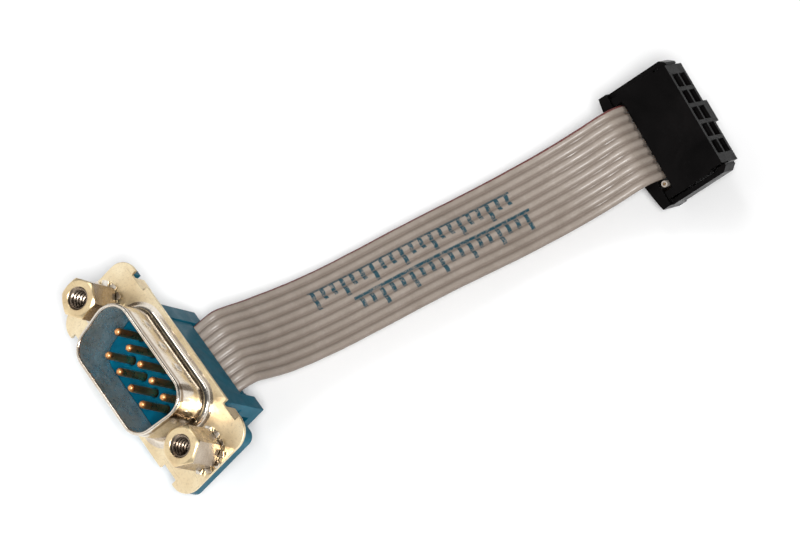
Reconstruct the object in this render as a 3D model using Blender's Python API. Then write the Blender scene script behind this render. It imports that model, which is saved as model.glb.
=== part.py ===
"""Serial adapter cable: nine-way D plug, flat ribbon and ten-way header socket, each piece its own object.

Metres, +Z up. The cable lies on a table at Z = 0: the D plug leans back on the rear edge of its housing,
the ribbon runs along +Y just clear of the table, and the header socket rests on one corner of its cover.
The origin is on the table, under the middle of the D plug.

The D plug is modelled in its own axes: x along its long side, y along its short side (+y is the wide,
five-pin side where the ribbon leaves) and z along the mating direction, from the flange's front face.
The header socket has its own axes too: x along its long side, y towards its mating face and z out of the
side where the ribbon leaves, from the middle of its ribbon slot.
"""

from math import atan2, cos, pi, radians, sin, tan

import bmesh
import bpy
from mathutils import Matrix, Vector

MM = 0.001
SLACK = 0.3 * MM  # gap between hidden neighbours
SEAM = 0.12 * MM  # gap between neighbours whose joint shows

# D plug: where it stands
PLUG_TILT = radians(39.6)  # mating direction, back from straight up
PLUG_AT = (0.0, -1.75 * MM, 12.14 * MM)  # centre of the flange's front face

# D plug: steel shell
FLANGE_LENGTH = 30.8 * MM
FLANGE_WIDTH = 12.55 * MM
FLANGE_CORNER = 2.5 * MM
STEEL = 0.45 * MM
NOTCH_INNER = 9.65 * MM  # the crimp notches, from the middle of the flange
NOTCH_OUTER = 12.45 * MM
NOTCH_DEPTH = 0.75 * MM
TAB_WIDTH = 1.9 * MM
SHROUD_INSIDE_LENGTH = 16.92 * MM
SHROUD_INSIDE_WIDTH = 8.36 * MM
SHROUD_CORNER = 2.6 * MM
SHROUD_HEIGHT = 6.05 * MM
SHROUD_FLARE = 0.65 * MM  # radius where the shroud meets the flange
SIDE_ANGLE = radians(10)
DENT_PITCH = 3.7 * MM
DENT_RADIUS = 0.75 * MM
DENT_HEIGHT = 3.1 * MM
DENT_DEPTH = 0.2 * MM

# D plug: contacts
PIN_PITCH = 2.77 * MM
ROW_SPACING = 2.84 * MM
PIN_RADIUS = 0.5 * MM
PIN_TIP = 4.85 * MM
WAYS = 9

# D plug: plastic
FLOOR = -0.55 * MM
INSULATOR_BACK = -2.05 * MM
INSULATOR_LENGTH = 30.4 * MM
INSULATOR_WIDTH = 11.25 * MM
INSULATOR_CORNER = 1.2 * MM
BODY_HALF_LENGTH = 8.5 * MM
BODY_TOP = 5.0 * MM  # the side the ribbon leaves by
BODY_BOTTOM = -5.5 * MM
BODY_BACK = -8.6 * MM
EAR_BACK = -11.2 * MM
EAR_THICKNESS = 2.3 * MM
RIBBON_GAP = 1.5 * MM  # between the body and its cover, and between the socket's two halves
RECESS_DEPTH = 0.25 * MM

# D plug: jackscrews (number 4-40, female)
JACK_SPACING = 24.99 * MM
JACK_FLATS = 4.75 * MM
JACK_FRONT = 5.55 * MM
JACK_BORE_RADIUS = 1.2 * MM
JACK_COUNTERSINK_RADIUS = 1.6 * MM
JACK_BORE_DEPTH = 4.6 * MM
STUD_RADIUS = 1.3 * MM
STUD_END = -4.3 * MM
WASHER_RADIUS = 3.0 * MM
WASHER_BODY_RADIUS = 2.35 * MM
WASHER_THICKNESS = 0.4 * MM
WASHER_TEETH = 12
NUT_RADIUS = 2.0 * MM
NUT_BACK = -3.0 * MM

# Ribbon
RIBBON_PITCH = 1.27 * MM
RIBBON_THICKNESS = 0.9 * MM
RIBBON_WIDTH = (WAYS - 1) * RIBBON_PITCH + 1.1 * MM
RIBBON_LEVEL = -9.25 * MM  # its centreline, along the plug's mating axis
PLUG_OFFSET = -0.3 * MM  # the ribbon's middle along the plug, which it leaves a little to one side
SOCKET_OFFSET = -RIBBON_PITCH / 2  # the socket has ten places, and the ribbon leaves the last one empty

# Header socket
SOCKET_AT = (0.8 * MM, 72.6 * MM, 8.45 * MM)  # middle of the ribbon slot
SOCKET_TILT = radians(45)
SOCKET_ROLL = radians(20)
GRID = 2.54 * MM
COLUMNS = 5
SOCKET_THICKNESS = 5.95 * MM
SOCKET_BODY_HALF = 7.75 * MM
SOCKET_HALF = 8.55 * MM
MATING_FACE = 8.45 * MM
CAP_END = -2.0 * MM
CAP_CROWN = -2.9 * MM
ARM_INNER = 7.9 * MM
ARM_WIDTH = 3.45 * MM
ARM_TIP = 8.3 * MM
KEY_WIDTH = 3.2 * MM
KEY_PROUD = 1.4 * MM
KEY_LENGTH = 5.6 * MM
WELL = 1.7 * MM  # square mouth of each contact well

# The ribbon's centreline on the table, between the two slots, chosen by hand: x, y and z in millimetres,
# and how far its right-hand edge is rolled down, in degrees.
RIBBON_ROUTE = [
    (-0.3, 10.2, 8.85, 4.5),
    (-0.3, 12.1, 8.4, 8.0),
    (-0.33, 14.2, 7.58, 10.2),
    (-0.45, 16.8, 6.75, 11.0),
    (-0.57, 20.0, 6.0, 10.2),
    (-0.65, 23.3, 5.5, 8.7),
    (-0.69, 26.6, 5.3, 7.5),
    (-0.69, 30.0, 5.3, 7.0),
    (-0.68, 33.4, 5.4, 7.1),
    (-0.67, 36.7, 5.52, 7.5),
    (-0.67, 40.0, 5.55, 8.2),
    (-0.69, 43.4, 5.45, 9.2),
    (-0.72, 46.7, 5.28, 10.6),
    (-0.74, 50.1, 5.15, 12.2),
    (-0.75, 53.4, 5.15, 13.9),
    (-0.7, 56.7, 5.35, 15.4),
    (-0.57, 60.0, 5.8, 16.7),
    (-0.35, 63.3, 6.6, 17.8),
    (-0.02, 66.4, 7.8, 18.7),
    (0.25, 68.7, 8.85, 19.3),
    (0.4, 70.6, 9.35, 19.8),
]

MATERIALS = {
    "shell_steel": ((0.80, 0.72, 0.56, 1), 0.28, 1.0),
    "screw_steel": ((0.83, 0.66, 0.38, 1), 0.3, 1.0),
    "washer_steel": ((0.62, 0.6, 0.56, 1), 0.3, 1.0),
    "nut_steel": ((0.62, 0.6, 0.56, 1), 0.4, 1.0),
    "contact_brass": ((0.68, 0.42, 0.2, 1), 0.3, 1.0),
    "blue_plastic": ((0.01, 0.11, 0.16, 1), 0.45, 0.0),
    "bright_blue_plastic": ((0.0, 0.2, 0.32, 1), 0.4, 0.0),
    "black_plastic": ((0.012, 0.01, 0.01, 1), 0.5, 0.0),
    "ribbon_grey": ((0.4, 0.36, 0.33, 1), 0.42, 0.0),
}


def clear_scene():
    for item in list(bpy.data.objects):
        bpy.data.objects.remove(item, do_unlink=True)


def material(kind, name):
    colour, roughness, metallic = MATERIALS[kind]
    made = bpy.data.materials.new(name)
    made.use_nodes = True
    shader = made.node_tree.nodes["Principled BSDF"]
    shader.inputs["Base Color"].default_value = colour
    shader.inputs["Roughness"].default_value = roughness
    shader.inputs["Metallic"].default_value = metallic
    made.diffuse_color = colour
    return made


def empty(name, matrix):
    made = bpy.data.objects.new(name, None)
    bpy.context.collection.objects.link(made)
    made.matrix_world = matrix
    return made


def add(name, mesh, kind, parent, at=(0, 0, 0), turn=0.0, smooth=False):
    """An object with its own material, placed in its parent's axes."""
    made = bpy.data.objects.new(name, mesh)
    bpy.context.collection.objects.link(made)
    made.parent = parent
    made.location = at
    made.rotation_euler = (0, 0, turn)
    if kind:
        if not mesh.materials:
            mesh.materials.append(None)
        made.material_slots[0].link = "OBJECT"
        made.material_slots[0].material = material(kind, name)
    if smooth:
        mesh.shade_smooth()
        mesh.set_sharp_from_angle(angle=radians(35))
    return made


def finish(work, name):
    bmesh.ops.recalc_face_normals(work, faces=work.faces)
    mesh = bpy.data.meshes.new(name)
    work.to_mesh(mesh)
    work.free()
    return mesh


def add_loft(work, loops):
    """Joins loops of equally many points, in order, and caps both ends."""
    rings = [[work.verts.new(point) for point in loop] for loop in loops]
    for low, high in zip(rings, rings[1:]):
        for i in range(len(low)):
            k = (i + 1) % len(low)
            work.faces.new((low[i], low[k], high[k], high[i]))
    work.faces.new(list(reversed(rings[0])))
    work.faces.new(rings[-1])


def loft(name, loops):
    work = bmesh.new()
    add_loft(work, loops)
    return finish(work, name)


def at_height(outline, z):
    return [(x, y, z) for x, y in outline]


def prism(name, outline, low, high):
    return loft(name, [at_height(outline, low), at_height(outline, high)])


def prisms(name, outlines, low, high):
    """Several separate prisms in one mesh, for cutting."""
    work = bmesh.new()
    for outline in outlines:
        add_loft(work, [at_height(outline, low), at_height(outline, high)])
    return finish(work, name)


def rectangle(left, right, bottom, top):
    return [(left, bottom), (right, bottom), (right, top), (left, top)]


def circle(radius, count, centre=(0, 0), phase=0.0):
    angles = [phase + 2 * pi * i / count for i in range(count)]
    return [(centre[0] + radius * cos(a), centre[1] + radius * sin(a)) for a in angles]


def arc(centre, radius, start, stop, steps):
    angles = [start + (stop - start) * i / steps for i in range(steps + 1)]
    return [(centre[0] + radius * cos(a), centre[1] + radius * sin(a)) for a in angles]


def d_outline(grow=0.0, steps=5):
    """The shroud's inside outline, grown or shrunk all round, anticlockwise from the wide side's right."""
    half_width = SHROUD_INSIDE_WIDTH / 2
    high = half_width - SHROUD_CORNER
    wide = SHROUD_INSIDE_LENGTH / 2 - SHROUD_CORNER
    narrow = wide - 2 * high * tan(SIDE_ANGLE)
    radius = SHROUD_CORNER + grow
    lean = SIDE_ANGLE
    return (
        arc((wide, high), radius, -lean, pi / 2, steps)
        + arc((-wide, high), radius, pi / 2, pi + lean, steps)
        + arc((-narrow, -high), radius, pi + lean, 1.5 * pi, steps)
        + arc((narrow, -high), radius, 1.5 * pi, 2 * pi - lean, steps)
    )


def flange_outline(length, width, corner, notch_margin=0.0, steps=5):
    """A rounded rectangle with two crimp notches in each long edge, anticlockwise."""
    x, y = length / 2 - corner, width / 2 - corner
    inner, outer = NOTCH_INNER - notch_margin, NOTCH_OUTER + notch_margin
    floor = FLANGE_WIDTH / 2 - NOTCH_DEPTH
    if notch_margin:
        floor -= STEEL + notch_margin
    top = width / 2
    return (
        arc((x, y), corner, 0, pi / 2, steps)
        + [(outer, top), (outer, floor), (inner, floor), (inner, top)]
        + [(-inner, top), (-inner, floor), (-outer, floor), (-outer, top)]
        + arc((-x, y), corner, pi / 2, pi, steps)
        + arc((-x, -y), corner, pi, 1.5 * pi, steps)
        + [(-outer, -top), (-outer, -floor), (-inner, -floor), (-inner, -top)]
        + [(inner, -top), (inner, -floor), (outer, -floor), (outer, -top)]
        + arc((x, -y), corner, 1.5 * pi, 2 * pi, steps)
    )


def along_y(mesh):
    """Turns a mesh drawn in x and y, and raised along z, so that it is drawn in x and z and runs along -y."""
    mesh.transform(Matrix.Rotation(pi / 2, 4, "X"))
    return mesh


def modify(target, tool, operation):
    """A Boolean on target with a hidden tool in the same parent's axes."""
    tool.hide_render = True
    tool.hide_viewport = False
    tool.display_type = "WIRE"
    step = target.modifiers.new(tool.name, "BOOLEAN")
    step.operation = operation
    step.solver = "EXACT"
    step.object = tool


def cut(target, mesh, parent):
    modify(target, add(mesh.name, mesh, None, parent), "DIFFERENCE")


def join(target, mesh, parent):
    modify(target, add(mesh.name, mesh, None, parent), "UNION")


def pin_places():
    """(x, y) of each contact's pin, numbered as the ribbon's conductors are."""
    middle = (WAYS - 1) / 2
    places = []
    for i in range(WAYS):
        row = ROW_SPACING / 2 if i % 2 == 0 else -ROW_SPACING / 2
        places.append(((i - middle) * PIN_PITCH / 2, row))
    return places


def conductor_place(i):
    """x of a conductor in the plug."""
    return (i - (WAYS - 1) / 2) * RIBBON_PITCH + PLUG_OFFSET


def jack_places():
    return (("left", -JACK_SPACING / 2, radians(32)), ("right", JACK_SPACING / 2, 0.0))


def shroud_loops():
    """Outer surface of the shroud, from inside the flange up to its rounded rim."""
    flare = SHROUD_FLARE
    profile = [(STEEL + flare, -STEEL / 2)]
    for i in range(4):
        turn = i / 3 * pi / 2
        profile.append((STEEL + flare * (1 - sin(turn)), flare * (1 - cos(turn))))
    profile += [(STEEL, SHROUD_HEIGHT - 0.12 * MM), (STEEL - 0.12 * MM, SHROUD_HEIGHT)]
    return [at_height(d_outline(grow), z) for grow, z in profile]


def dent_cutter():
    work = bmesh.new()
    wall = SHROUD_INSIDE_WIDTH / 2 + STEEL
    for i in (-1, 0, 1):
        centre = Vector((i * DENT_PITCH - 0.3 * MM, wall + DENT_RADIUS - DENT_DEPTH, DENT_HEIGHT))
        bmesh.ops.create_icosphere(
            work, subdivisions=2, radius=DENT_RADIUS, matrix=Matrix.Translation(centre)
        )
    return finish(work, "dent_cutter")


def crimp_tab(side_x, side_y):
    """A tab that runs back from a flange notch and hooks under the plastic flange, as loops along x."""
    floor = FLANGE_WIDTH / 2 - NOTCH_DEPTH
    middle = (NOTCH_INNER + NOTCH_OUTER) / 2
    back = INSULATOR_BACK - SEAM - STEEL
    hook = 1.3 * MM
    outline = [
        (floor - STEEL, 0.0),
        (floor - STEEL * 0.3, 0.0),
        (floor, -STEEL * 0.3),
        (floor, back),
        (floor - hook, back),
        (floor - hook, back + STEEL),
        (floor - STEEL, back + STEEL),
    ]
    ends = (middle - TAB_WIDTH / 2, middle + TAB_WIDTH / 2)
    loops = [[(side_x * x, side_y * y, z) for y, z in outline] for x in ends]
    return loops


def make_shell(frame):
    plate = flange_outline(FLANGE_LENGTH, FLANGE_WIDTH, FLANGE_CORNER)
    shell = add("front_shell", prism("front_shell", plate, -STEEL, 0), "shell_steel", frame)
    join(shell, loft("shroud_former", shroud_loops()), frame)
    tabs = bmesh.new()
    for side_x in (-1, 1):
        for side_y in (-1, 1):
            add_loft(tabs, crimp_tab(side_x, side_y))
    join(shell, finish(tabs, "tab_former"), frame)
    rim = 0.12 * MM
    opening = [(0.0, -2 * STEEL), (0.0, SHROUD_HEIGHT - rim), (rim * 1.1, SHROUD_HEIGHT + rim * 0.1)]
    cut(shell, loft("shroud_cutter", [at_height(d_outline(g), z) for g, z in opening]), frame)
    holes = [circle(STUD_RADIUS + SLACK, 20, (x, 0)) for _, x, _ in jack_places()]
    cut(shell, prisms("shell_hole_cutter", holes, -2 * STEEL, STEEL), frame)
    cut(shell, dent_cutter(), frame)
    shell.data.shade_smooth()
    shell.data.set_sharp_from_angle(angle=radians(30))


def make_insulator(frame):
    outline = flange_outline(INSULATOR_LENGTH, INSULATOR_WIDTH, INSULATOR_CORNER, notch_margin=SEAM)
    mesh = prism("front_insulator", outline, INSULATOR_BACK, -STEEL - SEAM)
    insulator = add("front_insulator", mesh, "bright_blue_plastic", frame)
    plug = prism("plug_former", d_outline(-SEAM), INSULATOR_BACK + 0.4 * MM, FLOOR)
    join(insulator, plug, frame)
    pins = [circle(PIN_RADIUS + SLACK / 2, 12, place) for place in pin_places()]
    cut(insulator, prisms("pin_hole_cutter", pins, INSULATOR_BACK - MM, MM), frame)
    holes = [circle(NUT_RADIUS + SEAM, 24, (x, 0)) for _, x, _ in jack_places()]
    cut(insulator, prisms("insulator_hole_cutter", holes, INSULATOR_BACK - MM, MM), frame)


def make_body(frame):
    """The rear housing: a block between the flanges, with an ear at each end that holds the cover."""
    half, ear = BODY_HALF_LENGTH, BODY_HALF_LENGTH - EAR_THICKNESS
    chamfer = 0.25 * MM
    front = INSULATOR_BACK - SEAM
    right = [
        (half, front),
        (half, EAR_BACK + chamfer),
        (half - chamfer, EAR_BACK),
        (ear, EAR_BACK),
        (ear, BODY_BACK),
    ]
    outline = right + [(-x, z) for x, z in reversed(right)]
    mesh = along_y(prism("rear_body", outline, -BODY_TOP, -BODY_BOTTOM))
    body = add("rear_body", mesh, "blue_plastic", frame)
    channels = []
    for i, (x, y) in enumerate(pin_places()):
        room = 0.65 * MM
        low, high = sorted((x, conductor_place(i)))
        channels.append(rectangle(low - room, high + room * 1.05, y - room, y + room))
    cut(body, prisms("channel_cutter", channels, BODY_BACK - MM, front + MM), frame)
    panel = rectangle(-ear, ear, BODY_TOP - RECESS_DEPTH, BODY_TOP + MM)
    cut(body, prism("side_recess_cutter", panel, BODY_BACK - 2 * MM, front - 0.9 * MM), frame)
    slots = []
    for side_x in (-1, 1):
        for y in (2.8 * MM, -2.8 * MM):
            left, right = sorted((side_x * (half - 0.7 * MM), side_x * (half + MM)))
            slots.append(rectangle(left, right, y - 0.4 * MM, y + 0.4 * MM))
    cut(body, prisms("latch_slot_cutter", slots, -9.8 * MM, -8.4 * MM), frame)
    return body


def make_cover(frame):
    """The cover that presses the ribbon onto the contacts: a slab between the ears, with end latches."""
    half = BODY_HALF_LENGTH - EAR_THICKNESS - SEAM * 1.5
    front = BODY_BACK - RIBBON_GAP
    back = EAR_BACK + 0.15 * MM
    lip = 0.3 * MM
    outline = [
        (BODY_BOTTOM + 0.25 * MM, front),
        (BODY_TOP - 0.9 * MM, front),
        (BODY_TOP - 0.7 * MM, front - 0.2 * MM),
        (BODY_TOP - 0.7 * MM, back + lip),
        (BODY_TOP - 0.7 * MM - lip, back),
        (BODY_BOTTOM + 0.25 * MM + lip, back),
        (BODY_BOTTOM + 0.25 * MM, back + lip),
    ]
    loops = [[(x, y, z) for y, z in outline] for x in (-half, half)]
    cover = add("rear_cover", loft("rear_cover", loops), "blue_plastic", frame)
    groove = rectangle(-half + 1.2 * MM, half - 1.2 * MM, -1.0 * MM, 1.0 * MM)
    cut(cover, prism("cover_groove_cutter", groove, back - MM, back + 0.4 * MM), frame)


def contact_mesh(name, shift):
    """One plug contact: a round pin, a square neck and a forked blade shifted sideways to its conductor."""

    def section(radius, z):
        return [(x, y, z) for x, y in circle(radius, 12, phase=pi / 12)]

    def blade(x_half, y_half, z, offset):
        # twelve points in the same order as the circle's, four along each long side
        slot = 0.16 * MM
        right = [(x_half, y_half * k) for k in (0.33, 1.0)]
        top = [(slot, y_half), (-slot, y_half)]
        left = [(-x_half, y_half * k) for k in (1.0, 0.33, -0.33, -1.0)]
        bottom = [(-slot, -y_half), (slot, -y_half)]
        last = [(x_half, -y_half), (x_half, -y_half * 0.33)]
        return [(x + offset, y, z) for x, y in right + top + left + bottom + last]

    neck_top, neck_end = -2.6 * MM, -6.2 * MM
    fork_floor, fork_tip = BODY_BACK + 0.3 * MM, RIBBON_LEVEL - 0.6 * MM
    work = bmesh.new()
    sections = [
        section(0.2 * MM, PIN_TIP),
        section(0.4 * MM, PIN_TIP - 0.15 * MM),
        section(PIN_RADIUS, PIN_TIP - 0.45 * MM),
        section(PIN_RADIUS, neck_top + 0.3 * MM),
        blade(0.5 * MM, 0.35 * MM, neck_top, 0),
        blade(0.5 * MM, 0.35 * MM, neck_end, shift),
        blade(0.5 * MM, 0.15 * MM, neck_end - 0.6 * MM, shift),
        blade(0.5 * MM, 0.15 * MM, fork_floor, shift),
    ]
    rings = [[work.verts.new(point) for point in loop] for loop in sections]
    for low, high in zip(rings, rings[1:]):
        for i in range(12):
            k = (i + 1) % 12
            work.faces.new((low[i], low[k], high[k], high[i]))
    work.faces.new(rings[0])
    base = rings[-1]
    work.faces.new((base[2], base[3], base[8], base[9]))
    for prong in ([base[i] for i in (10, 11, 0, 1, 2, 9)], [base[i] for i in (3, 4, 5, 6, 7, 8)]):
        tip = [work.verts.new((v.co.x, v.co.y, fork_tip)) for v in prong]
        for i in range(6):
            k = (i + 1) % 6
            work.faces.new((prong[i], prong[k], tip[k], tip[i]))
        work.faces.new(tip)
    return finish(work, name)


def make_contacts(frame):
    for i, (x, y) in enumerate(pin_places()):
        shift = conductor_place(i) - x
        name = f"plug_contact_{i + 1}"
        add(name, contact_mesh(name, shift), "contact_brass", frame, (x, y, 0), smooth=True)


def jack_mesh():
    """A hexagonal jackscrew: countersunk female end, hexagonal barrel and a plain stud for its thread."""
    corner = JACK_FLATS / 2 / cos(pi / 6)
    foot = SEAM + WASHER_THICKNESS + SEAM

    def ring(radius, z, hexagonal=False):
        points = []
        for i in range(24):
            angle = 2 * pi * i / 24
            reach = radius
            if hexagonal:
                across = (angle + pi / 6) % (pi / 3) - pi / 6
                flat = JACK_FLATS / 2 / cos(pi / 6 - abs(across)) if abs(across) < pi / 6 else corner
                reach = min(flat, radius)
            points.append((reach * cos(angle), reach * sin(angle), z))
        return points

    bore_floor = JACK_FRONT - JACK_BORE_DEPTH
    loops = [
        ring(STUD_RADIUS - 0.3 * MM, STUD_END),
        ring(STUD_RADIUS, STUD_END + 0.3 * MM),
        ring(STUD_RADIUS, foot),
        ring(corner, foot, True),
        ring(corner, JACK_FRONT - 0.55 * MM, True),
        ring(2.3 * MM, JACK_FRONT - 0.15 * MM, True),
        ring(2.15 * MM, JACK_FRONT),
        ring(JACK_COUNTERSINK_RADIUS, JACK_FRONT),
        ring(JACK_BORE_RADIUS, JACK_FRONT - 0.5 * MM),
        ring(JACK_BORE_RADIUS, bore_floor + 0.5 * MM),
        ring(0.3 * MM, bore_floor),
    ]
    return loft("jackscrew", loops)


def washer_mesh():
    """An external-tooth lock washer whose teeth are twisted, one edge up and one edge down."""
    work = bmesh.new()
    inner, body, tip = STUD_RADIUS + SLACK * 0.6, WASHER_BODY_RADIUS, WASHER_RADIUS
    low, high = SEAM, SEAM + WASHER_THICKNESS
    lean = 0.1 * MM
    step = 2 * pi / WASHER_TEETH

    def point(radius, angle, z):
        return work.verts.new((radius * cos(angle), radius * sin(angle), z))

    rows = []
    for i in range(WASHER_TEETH):
        for k, share in enumerate((0.0, 0.5)):
            angle = (i + share) * step
            rows.append(
                {
                    "angle": angle,
                    "in": (point(inner, angle, low + lean), point(inner, angle, high - lean)),
                    "out": (point(body, angle, low + lean), point(body, angle, high - lean)),
                }
            )
    count = len(rows)
    for i in range(count):
        here, then = rows[i], rows[(i + 1) % count]
        for level, flip in ((0, False), (1, True)):
            quad = [here["in"][level], here["out"][level], then["out"][level], then["in"][level]]
            work.faces.new(list(reversed(quad)) if flip else quad)
        work.faces.new((here["in"][0], then["in"][0], then["in"][1], here["in"][1]))
        if i % 2:
            work.faces.new((here["out"][0], here["out"][1], then["out"][1], then["out"][0]))
            continue
        squeeze = step * 0.06
        first, last = here["angle"] + squeeze, here["angle"] + step / 2 - squeeze
        a = (point(tip, first, low), point(tip, first, high - 2 * lean))
        b = (point(tip, last, low + 2 * lean), point(tip, last, high))
        work.faces.new((here["out"][0], a[0], b[0], then["out"][0]))
        work.faces.new((here["out"][1], then["out"][1], b[1], a[1]))
        work.faces.new((here["out"][0], here["out"][1], a[1], a[0]))
        work.faces.new((then["out"][0], b[0], b[1], then["out"][1]))
        work.faces.new((a[0], a[1], b[1], b[0]))
    return finish(work, "lock_washer")


def nut_mesh():
    """A round threaded insert in the plastic flange, chamfered behind, with a plain bore for its thread."""
    front = -STEEL - SEAM
    chamfer = 0.25 * MM
    profile = [(NUT_RADIUS, front), (NUT_RADIUS, NUT_BACK + chamfer), (NUT_RADIUS - chamfer, NUT_BACK)]
    bore = STUD_RADIUS + SLACK / 2
    profile += [(bore, NUT_BACK), (bore, front)]
    work = bmesh.new()
    rings = [[work.verts.new((x, y, z)) for x, y in circle(radius, 20)] for radius, z in profile]
    for here, then in zip(rings, rings[1:] + rings[:1]):
        for i in range(20):
            k = (i + 1) % 20
            work.faces.new((here[i], here[k], then[k], then[i]))
    return finish(work, "threaded_insert")


def make_fasteners(frame):
    jack, washer, nut = jack_mesh(), washer_mesh(), nut_mesh()
    for side, x, turn in jack_places():
        add(f"jackscrew_{side}", jack, "screw_steel", frame, (x, 0, 0), turn, smooth=True)
        add(f"lock_washer_{side}", washer, "washer_steel", frame, (x, 0, 0), turn)
        add(f"threaded_insert_{side}", nut, "nut_steel", frame, (x, 0, 0), smooth=True)


def smooth_route(points, steps):
    """Points on a Catmull-Rom curve through the route's own points."""
    padded = [2 * points[0] - points[1]] + points + [2 * points[-1] - points[-2]]
    curve = []
    for i in range(1, len(padded) - 2):
        a, b, c, d = padded[i - 1 : i + 3]
        for k in range(steps):
            t = k / steps
            curve.append(
                0.5 * (2 * b + (c - a) * t + (2 * a - 5 * b + 4 * c - d) * t**2 + (3 * b - 3 * c + d - a) * t**3)
            )
    curve.append(padded[-2])
    return curve


def ribbon_stations(plug, socket):
    """The ribbon's centreline from inside the plug's slot to inside the socket's, with its roll."""
    inside, outside = (2.5 * MM, 1.2 * MM, 0.0), (-0.35 * MM, 0.3 * MM, 1.1 * MM)
    into_plug = [plug @ Vector((PLUG_OFFSET, BODY_TOP - depth, RIBBON_LEVEL)) for depth in inside]
    into_socket = [socket @ Vector((SOCKET_OFFSET, 0, -depth)) for depth in outside]
    route = [Vector((x * MM, y * MM, z * MM)) for x, y, z, _ in RIBBON_ROUTE]
    rolls = [0.0] * 3 + [radians(roll) for *_, roll in RIBBON_ROUTE] + [SOCKET_ROLL] * 3
    centres = smooth_route(into_plug + route + into_socket, 2)
    spread = smooth_route([Vector((roll, 0, 0)) for roll in rolls], 2)
    return centres, [value.x for value in spread]


def make_ribbon(plug, socket):
    centres, rolls = ribbon_stations(plug, socket)
    half, thick, soft = RIBBON_WIDTH / 2, RIBBON_THICKNESS / 2, 0.3 * MM
    section = [
        (half, thick - soft),
        (half - soft, thick),
        (-half + soft, thick),
        (-half, thick - soft),
        (-half, -thick + soft),
        (-half + soft, -thick),
        (half - soft, -thick),
        (half, -thick + soft),
    ]
    loops = []
    for i, centre in enumerate(centres):
        ahead = (centres[min(i + 1, len(centres) - 1)] - centres[max(i - 1, 0)]).normalized()
        across = Vector((cos(rolls[i]), 0, -sin(rolls[i])))
        across = (across - ahead * across.dot(ahead)).normalized()
        up = across.cross(ahead)
        loops.append([centre + across * x + up * z for x, z in section])
    add("ribbon_cable", loft("ribbon_cable", loops), "ribbon_grey", None, smooth=True)


def make_stub(frame):
    """The cut end of the tenth conductor, flush in the socket's slot."""
    place = (COLUMNS - 0.5) * RIBBON_PITCH
    outline = circle(RIBBON_THICKNESS / 2, 12)
    mesh = prism("conductor_stub", outline, -1.1 * MM, 0.05 * MM)
    add("conductor_stub", mesh, "ribbon_grey", frame, (place, 0, 0), smooth=True)


def box_between(x_low, x_high, y_low, y_high, z_low, z_high):
    return [
        [(x_low, y_low, z), (x_high, y_low, z), (x_high, y_high, z), (x_low, y_high, z)] for z in (z_low, z_high)
    ]


def wells():
    """(x, z, side) of each of the socket's contacts: side is the way its fork is offset."""
    places = []
    for column in range(COLUMNS):
        x = (column - (COLUMNS - 1) / 2) * GRID
        places.append((x, -SOCKET_THICKNESS / 2 + GRID / 2, -1))
        places.append((x, -SOCKET_THICKNESS / 2 - GRID / 2, 1))
    return places


def make_socket_body(frame):
    half, front = SOCKET_BODY_HALF, RIBBON_GAP / 2
    ledge, step = 0.3 * MM, 6.6 * MM
    right = [(half, front), (half, step), (half - ledge, step), (half - ledge, MATING_FACE)]
    outline = right + [(-x, y) for x, y in reversed(right)]
    mesh = prism("socket_body", outline, -SOCKET_THICKNESS, 0)
    body = add("socket_body", mesh, "black_plastic", frame)
    key = bmesh.new()
    proud = -SOCKET_THICKNESS - KEY_PROUD
    add_loft(
        key,
        box_between(-KEY_WIDTH / 2, KEY_WIDTH / 2, MATING_FACE - KEY_LENGTH, MATING_FACE, proud, -SOCKET_THICKNESS / 6 * 5.7),
    )
    join(body, finish(key, "key_former"), frame)
    mouths, throats = bmesh.new(), bmesh.new()
    for x, z, side in wells():
        mouth = WELL / 2
        add_loft(mouths, box_between(x - mouth, x + mouth, 3.6 * MM, MATING_FACE + MM, z - mouth, z + mouth))
        low, high = sorted((x - side * 0.75 * MM, x + side * 1.2 * MM))
        add_loft(throats, box_between(low, high, front - MM, 3.7 * MM, z - 0.45 * MM, z + 0.45 * MM))
    cut(body, finish(mouths, "well_cutter"), frame)
    cut(body, finish(throats, "throat_cutter"), frame)


def make_socket_cover(frame):
    half, inner = SOCKET_HALF, -RIBBON_GAP / 2
    crown = [(half, inner), (-half, inner), (-half, CAP_END)]
    for i in range(1, 8):
        x = -half + 2 * half * i / 8
        crown.append((x, CAP_CROWN + (CAP_END - CAP_CROWN) * (x / half) ** 2))
    crown.append((half, CAP_END))
    mesh = prism("socket_cover", crown, -SOCKET_THICKNESS, 0)
    cover = add("socket_cover", mesh, "black_plastic", frame)
    arms = bmesh.new()
    low = -SOCKET_THICKNESS / 2 - ARM_WIDTH / 2
    for side in (-1, 1):
        outline = [
            (ARM_INNER, inner - 0.5 * MM),
            (half, inner - 0.5 * MM),
            (half, ARM_TIP - 0.75 * MM),
            (half - 0.6 * MM, ARM_TIP),
            (SOCKET_BODY_HALF - 0.15 * MM, ARM_TIP),
            (SOCKET_BODY_HALF - 0.15 * MM, ARM_TIP - 1.3 * MM),
            (ARM_INNER, ARM_TIP - 1.5 * MM),
        ]
        add_loft(arms, [[(side * x, y, z) for x, y in outline] for z in (low, low + ARM_WIDTH)])
    join(cover, finish(arms, "arm_former"), frame)


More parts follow.
